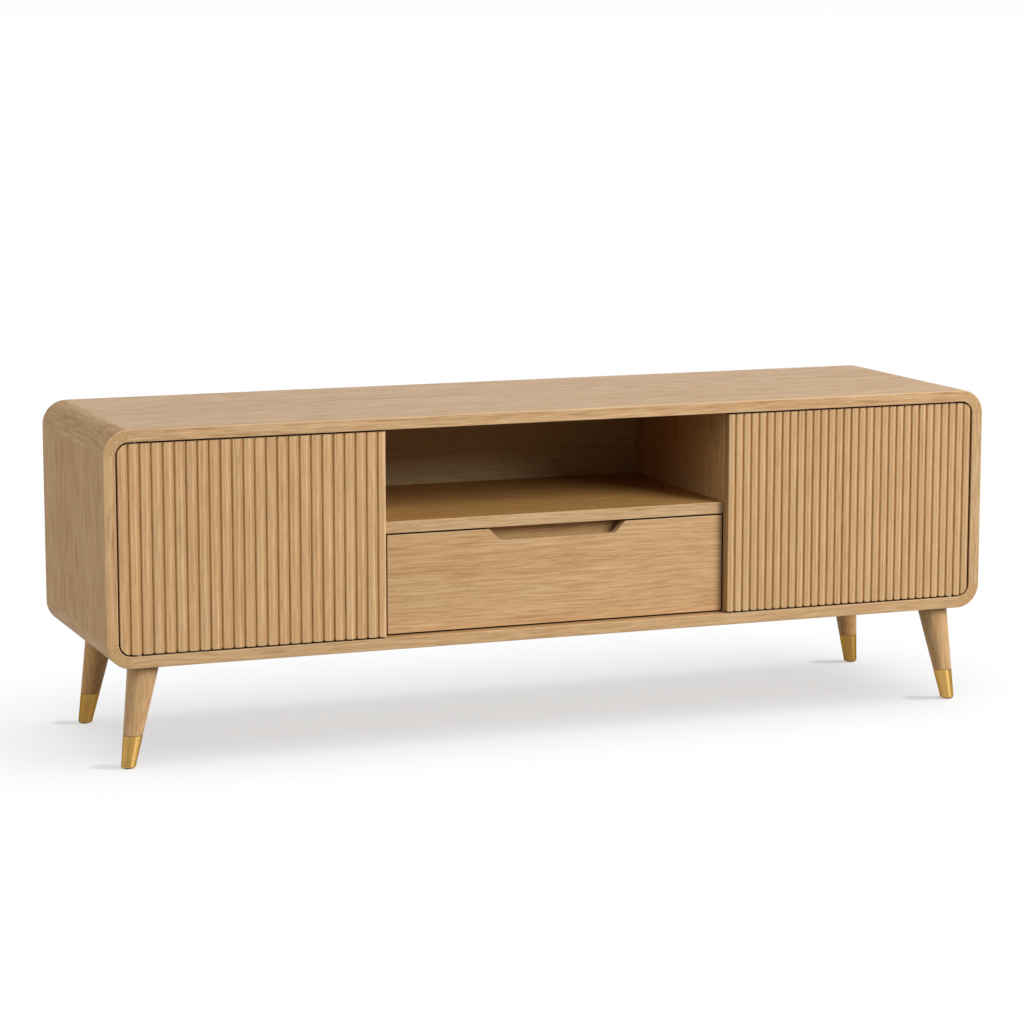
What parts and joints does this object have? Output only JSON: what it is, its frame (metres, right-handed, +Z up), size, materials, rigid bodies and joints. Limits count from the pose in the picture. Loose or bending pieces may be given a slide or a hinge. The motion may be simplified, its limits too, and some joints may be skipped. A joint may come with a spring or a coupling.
{
  "type": "media cabinet",
  "caption": "Low oak media cabinet with a rounded case, slatted hinged doors, an open bay over a notched drawer, and splayed tapered legs with brass ferrules.",
  "frame": {"origin": "on the floor, under the middle of the case", "axes": "+X to the right along the length, +Y from the doors to the back, +Z up"},
  "size_m": [1.6, 0.438, 0.564],
  "materials": {
    "oak_veneer": "matte lacquer",
    "oak_solid": "matte lacquer",
    "birch_ply": "matte lacquer",
    "beech_dowel": "raw",
    "brass": "satin",
    "zinc_steel": "zinc plated",
    "spring_steel": "bright",
    "nylon": "matte",
    "dark_plastic": "fine grain",
    "glide_rubber": "matte"
  },
  "bodies": {
    "case": {"top_panel": "oak_veneer", "bottom_panel": "oak_veneer", "left_side_panel": "oak_veneer", "right_side_panel": "oak_veneer", "corner_block_top_left": "oak_solid", "corner_block_top_right": "oak_solid", "corner_block_bottom_left": "oak_solid", "corner_block_bottom_right": "oak_solid", "corner_splines": "birch_ply", "left_divider": "oak_veneer", "right_divider": "oak_veneer", "centre_shelf": "oak_veneer", "case_dowels": "beech_dowel", "back_panel": "oak_veneer", "back_panel_screws": "zinc_steel", "left_cable_grommet": "dark_plastic", "right_cable_grommet": "dark_plastic", "left_inner_shelf": "oak_veneer", "right_inner_shelf": "oak_veneer", "shelf_pins": "zinc_steel", "left_latch_housing": "dark_plastic", "right_latch_housing": "dark_plastic", "latch_springs": "spring_steel", "latch_screws": "zinc_steel", "pivot_plates": "zinc_steel", "pivot_pins": "zinc_steel", "pivot_washers": "nylon", "pivot_plate_screws": "zinc_steel", "slide_outer_rails": "zinc_steel", "slide_case_screws": "zinc_steel", "front_left_leg": "oak_solid", "front_right_leg": "oak_solid", "back_left_leg": "oak_solid", "back_right_leg": "oak_solid", "leg_ferrules": "brass", "foot_glides": "glide_rubber", "hanger_bolts": "zinc_steel", "leg_inserts": "zinc_steel"},
    "left_door": {"left_door_panel": "oak_veneer", "left_door_slats": "oak_solid", "left_door_bushes": "nylon", "left_door_striker": "zinc_steel"},
    "right_door": {"right_door_panel": "oak_veneer", "right_door_slats": "oak_solid", "right_door_bushes": "nylon", "right_door_striker": "zinc_steel"},
    "drawer": {"drawer_front": "oak_veneer", "drawer_box_front": "oak_veneer", "drawer_left_side": "birch_ply", "drawer_right_side": "birch_ply", "drawer_back": "birch_ply", "drawer_bottom": "birch_ply", "drawer_dowels": "beech_dowel", "slide_inner_rails": "zinc_steel", "slide_drawer_screws": "zinc_steel"},
    "middle_rails": {"slide_middle_rails": "zinc_steel", "slide_runner_strips": "nylon"},
    "left_latch_button": {"left_latch_plunger": "nylon"},
    "right_latch_button": {"right_latch_plunger": "nylon"}
  },
  "joints": [
    {"name": "left_door_hinge", "type": "hinge", "parent": "case", "child": "left_door", "pos_m": [-0.745, -0.207, 0.368], "axis": [0, 0, -1], "range_deg": [0, 110]},
    {"name": "right_door_hinge", "type": "hinge", "parent": "case", "child": "right_door", "pos_m": [0.745, -0.207, 0.368], "axis": [0, 0, 1], "range_deg": [0, 110]},
    {"name": "drawer_slide", "type": "slide", "parent": "case", "child": "drawer", "axis": [0, -1, 0], "range_m": [0, 0.34]},
    {"name": "middle_rails_slide", "type": "slide", "parent": "case", "child": "middle_rails", "axis": [0, -1, 0], "range_m": [0, 0.17]},
    {"name": "left_latch_push", "type": "slide", "parent": "case", "child": "left_latch_button", "axis": [0, 1, 0], "range_m": [0, 0.0025], "stiffness_N_per_m": 400, "springref_m": -0.004},
    {"name": "right_latch_push", "type": "slide", "parent": "case", "child": "right_latch_button", "axis": [0, 1, 0], "range_m": [0, 0.0025], "stiffness_N_per_m": 400, "springref_m": -0.004}
  ],
  "couplings": [
    {"joint": "middle_rails_slide", "follows": "drawer_slide", "ratio": 0.5}
  ]
}
